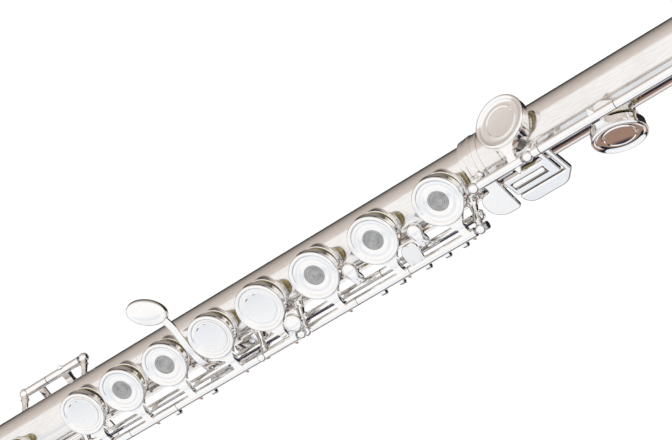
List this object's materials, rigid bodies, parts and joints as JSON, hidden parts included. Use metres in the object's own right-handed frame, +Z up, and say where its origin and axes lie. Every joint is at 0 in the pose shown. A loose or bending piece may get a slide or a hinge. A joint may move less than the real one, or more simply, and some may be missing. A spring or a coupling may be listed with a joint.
{
  "type": "concert flute",
  "caption": "Silver-plated transverse flute in three joints, with open-hole cups, plugs, trill and side levers, hinge rods and a foot with a roller.",
  "frame": {"origin": "on the bore axis at the open end of the foot", "axes": "+X along the bore and out of the foot's open end, +Z up out of the main tone holes, -Y towards the long hinge rods"},
  "size_m": [0.6755, 0.0478, 0.0409],
  "materials": {
    "tube_silver": "polished silver plate",
    "key_silver": "polished silver plate",
    "steel": "turned",
    "plug_finish": "turned, satin",
    "pad_skin": "skin over felt",
    "cork": "natural cork"
  },
  "bodies": {
    "body_joint": {"body_tube": "tube_silver", "barrel": "tube_silver", "body_ribs": "key_silver", "body_posts": "key_silver", "main_steel": "steel", "short_steels": "steel", "needle_springs": "steel"},
    "head_joint": {"head_tube": "tube_silver", "lip_plate": "tube_silver", "riser": "tube_silver", "crown": "tube_silver", "stopper_cork": "cork", "stopper_screw": "tube_silver"},
    "foot_joint": {"foot_tube": "tube_silver", "socket_ring": "tube_silver", "foot_posts": "key_silver", "foot_steel": "steel"},
    "csharp_key": {"key_csharp": "key_silver", "pad_csharp": "pad_skin"},
    "asharp_key": {"key_asharp": "key_silver", "pad_asharp": "pad_skin"},
    "a_key": {"key_a": "key_silver", "pad_a": "pad_skin", "plug_a": "plug_finish"},
    "g_key": {"key_g": "key_silver", "pads_g": "pad_skin", "plug_g": "plug_finish"},
    "gsharp_key": {"key_gsharp": "key_silver", "pad_gsharp": "pad_skin"},
    "thumb_key": {"key_thumb": "key_silver", "pad_thumb": "pad_skin"},
    "thumb_bflat_lever": {"lever_thumb_bflat": "key_silver"},
    "fsharp_key": {"key_fsharp": "key_silver", "pad_fsharp": "pad_skin"},
    "f_key": {"key_f": "key_silver", "pad_f": "pad_skin", "plug_f": "plug_finish"},
    "e_key": {"key_e": "key_silver", "pad_e": "pad_skin", "plug_e": "plug_finish"},
    "d_key": {"key_d": "key_silver", "pad_d": "pad_skin", "plug_d": "plug_finish"},
    "trill_d_key": {"key_trill_d": "key_silver", "pad_trill_d": "pad_skin"},
    "trill_dsharp_key": {"key_trill_dsharp": "key_silver", "pad_trill_dsharp": "pad_skin"},
    "side_bflat_lever": {"lever_side_bflat": "key_silver"},
    "foot_dsharp_key": {"key_foot_dsharp": "key_silver", "pad_foot_dsharp": "pad_skin"},
    "foot_csharp_key": {"key_foot_csharp": "key_silver", "pad_foot_csharp": "pad_skin"},
    "foot_c_key": {"key_foot_c": "key_silver", "pad_foot_c": "pad_skin"},
    "roller": {"c_roller": "key_silver"}
  },
  "joints": [
    {"name": "head_slide", "type": "slide", "parent": "body_joint", "child": "head_joint", "axis": [-1, 0, 0], "range_m": [-0.004, 0.012]},
    {"name": "foot_turn", "type": "hinge", "parent": "body_joint", "child": "foot_joint", "pos_m": [-0.1265, 0, 0], "axis": [1, 0, 0], "range_deg": [-20, 30]},
    {"name": "csharp_press", "type": "hinge", "parent": "body_joint", "child": "csharp_key", "pos_m": [-0.3573, -0.0172, 0.012], "axis": [1, 0, 0], "range_deg": [-7, 0], "stiffness_Nm_per_rad": 0.05, "springref_deg": 17.19},
    {"name": "asharp_press", "type": "hinge", "parent": "body_joint", "child": "asharp_key", "pos_m": [-0.3192, -0.0172, 0.012], "axis": [1, 0, 0], "range_deg": [-7, 0]},
    {"name": "a_press", "type": "hinge", "parent": "body_joint", "child": "a_key", "pos_m": [-0.2984, -0.0172, 0.012], "axis": [1, 0, 0], "range_deg": [-7, 0], "stiffness_Nm_per_rad": 0.05, "springref_deg": 17.19},
    {"name": "g_press", "type": "hinge", "parent": "body_joint", "child": "g_key", "pos_m": [-0.2763, -0.0172, 0.012], "axis": [1, 0, 0], "range_deg": [-7, 0], "stiffness_Nm_per_rad": 0.05, "springref_deg": 17.19},
    {"name": "fsharp_press", "type": "hinge", "parent": "body_joint", "child": "fsharp_key", "pos_m": [-0.2285, -0.0172, 0.012], "axis": [1, 0, 0], "range_deg": [-7, 0]},
    {"name": "f_press", "type": "hinge", "parent": "body_joint", "child": "f_key", "pos_m": [-0.2023, -0.0172, 0.012], "axis": [1, 0, 0], "range_deg": [-7, 0], "stiffness_Nm_per_rad": 0.05, "springref_deg": 17.19},
    {"name": "e_press", "type": "hinge", "parent": "body_joint", "child": "e_key", "pos_m": [-0.1747, -0.0172, 0.012], "axis": [1, 0, 0], "range_deg": [-7, 0], "stiffness_Nm_per_rad": 0.05, "springref_deg": 17.19},
    {"name": "d_press", "type": "hinge", "parent": "body_joint", "child": "d_key", "pos_m": [-0.145, -0.0172, 0.012], "axis": [1, 0, 0], "range_deg": [-7, 0], "stiffness_Nm_per_rad": 0.05, "springref_deg": 17.19},
    {"name": "trill_d_press", "type": "hinge", "parent": "body_joint", "child": "trill_d_key", "pos_m": [-0.3748, -0.0136, 0.0076], "axis": [-1, 0, 0], "range_deg": [0, 8], "stiffness_Nm_per_rad": 0.05, "springref_deg": -17.19},
    {"name": "trill_dsharp_press", "type": "hinge", "parent": "body_joint", "child": "trill_dsharp_key", "pos_m": [-0.3913, -0.0136, 0.0076], "axis": [-1, 0, 0], "range_deg": [0, 8], "stiffness_Nm_per_rad": 0.05, "springref_deg": -17.19},
    {"name": "gsharp_press", "type": "hinge", "parent": "body_joint", "child": "gsharp_key", "pos_m": [-0.2529, -0.017, 0.0036], "axis": [-1, 0, 0], "range_deg": [0, 8], "stiffness_Nm_per_rad": 0.05, "springref_deg": -17.19},
    {"name": "thumb_press", "type": "hinge", "parent": "body_joint", "child": "thumb_key", "pos_m": [-0.3388, 0.01351, -0.01604], "axis": [1, 0, 0], "range_deg": [-7, 0], "stiffness_Nm_per_rad": 0.05, "springref_deg": 17.19},
    {"name": "thumb_bflat_press", "type": "hinge", "parent": "body_joint", "child": "thumb_bflat_lever", "pos_m": [-0.3529, 0.01351, -0.01604], "axis": [1, 0, 0], "range_deg": [-7, 0], "stiffness_Nm_per_rad": 0.05, "springref_deg": 17.19},
    {"name": "side_bflat_press", "type": "hinge", "parent": "body_joint", "child": "side_bflat_lever", "pos_m": [-0.2305, -0.0167, 0.016], "axis": [1, 0, 0], "range_deg": [-8, 0], "stiffness_Nm_per_rad": 0.05, "springref_deg": 17.19},
    {"name": "foot_dsharp_press", "type": "hinge", "parent": "foot_joint", "child": "foot_dsharp_key", "pos_m": [-0.1118, -0.00276, 0.01971], "axis": [1, 0, 0], "range_deg": [0, 9], "stiffness_Nm_per_rad": 0.05, "springref_deg": -17.19},
    {"name": "foot_csharp_press", "type": "hinge", "parent": "foot_joint", "child": "foot_csharp_key", "pos_m": [-0.0785, -0.00276, 0.01971], "axis": [-1, 0, 0], "range_deg": [-7, 0], "stiffness_Nm_per_rad": 0.05, "springref_deg": 17.19},
    {"name": "foot_c_press", "type": "hinge", "parent": "foot_joint", "child": "foot_c_key", "pos_m": [-0.0436, -0.00276, 0.01971], "axis": [-1, 0, 0], "range_deg": [-7, 0], "stiffness_Nm_per_rad": 0.05, "springref_deg": 17.19},
    {"name": "roller_spin", "type": "hinge", "parent": "foot_c_key", "child": "roller", "pos_m": [-0.1125, -0.00959, 0.01545], "axis": [1, 0, 0], "continuous": true}
  ],
  "couplings": [
    {"joint": "asharp_press", "follows": "a_press", "ratio": 1},
    {"joint": "fsharp_press", "follows": "f_press", "ratio": 1}
  ]
}
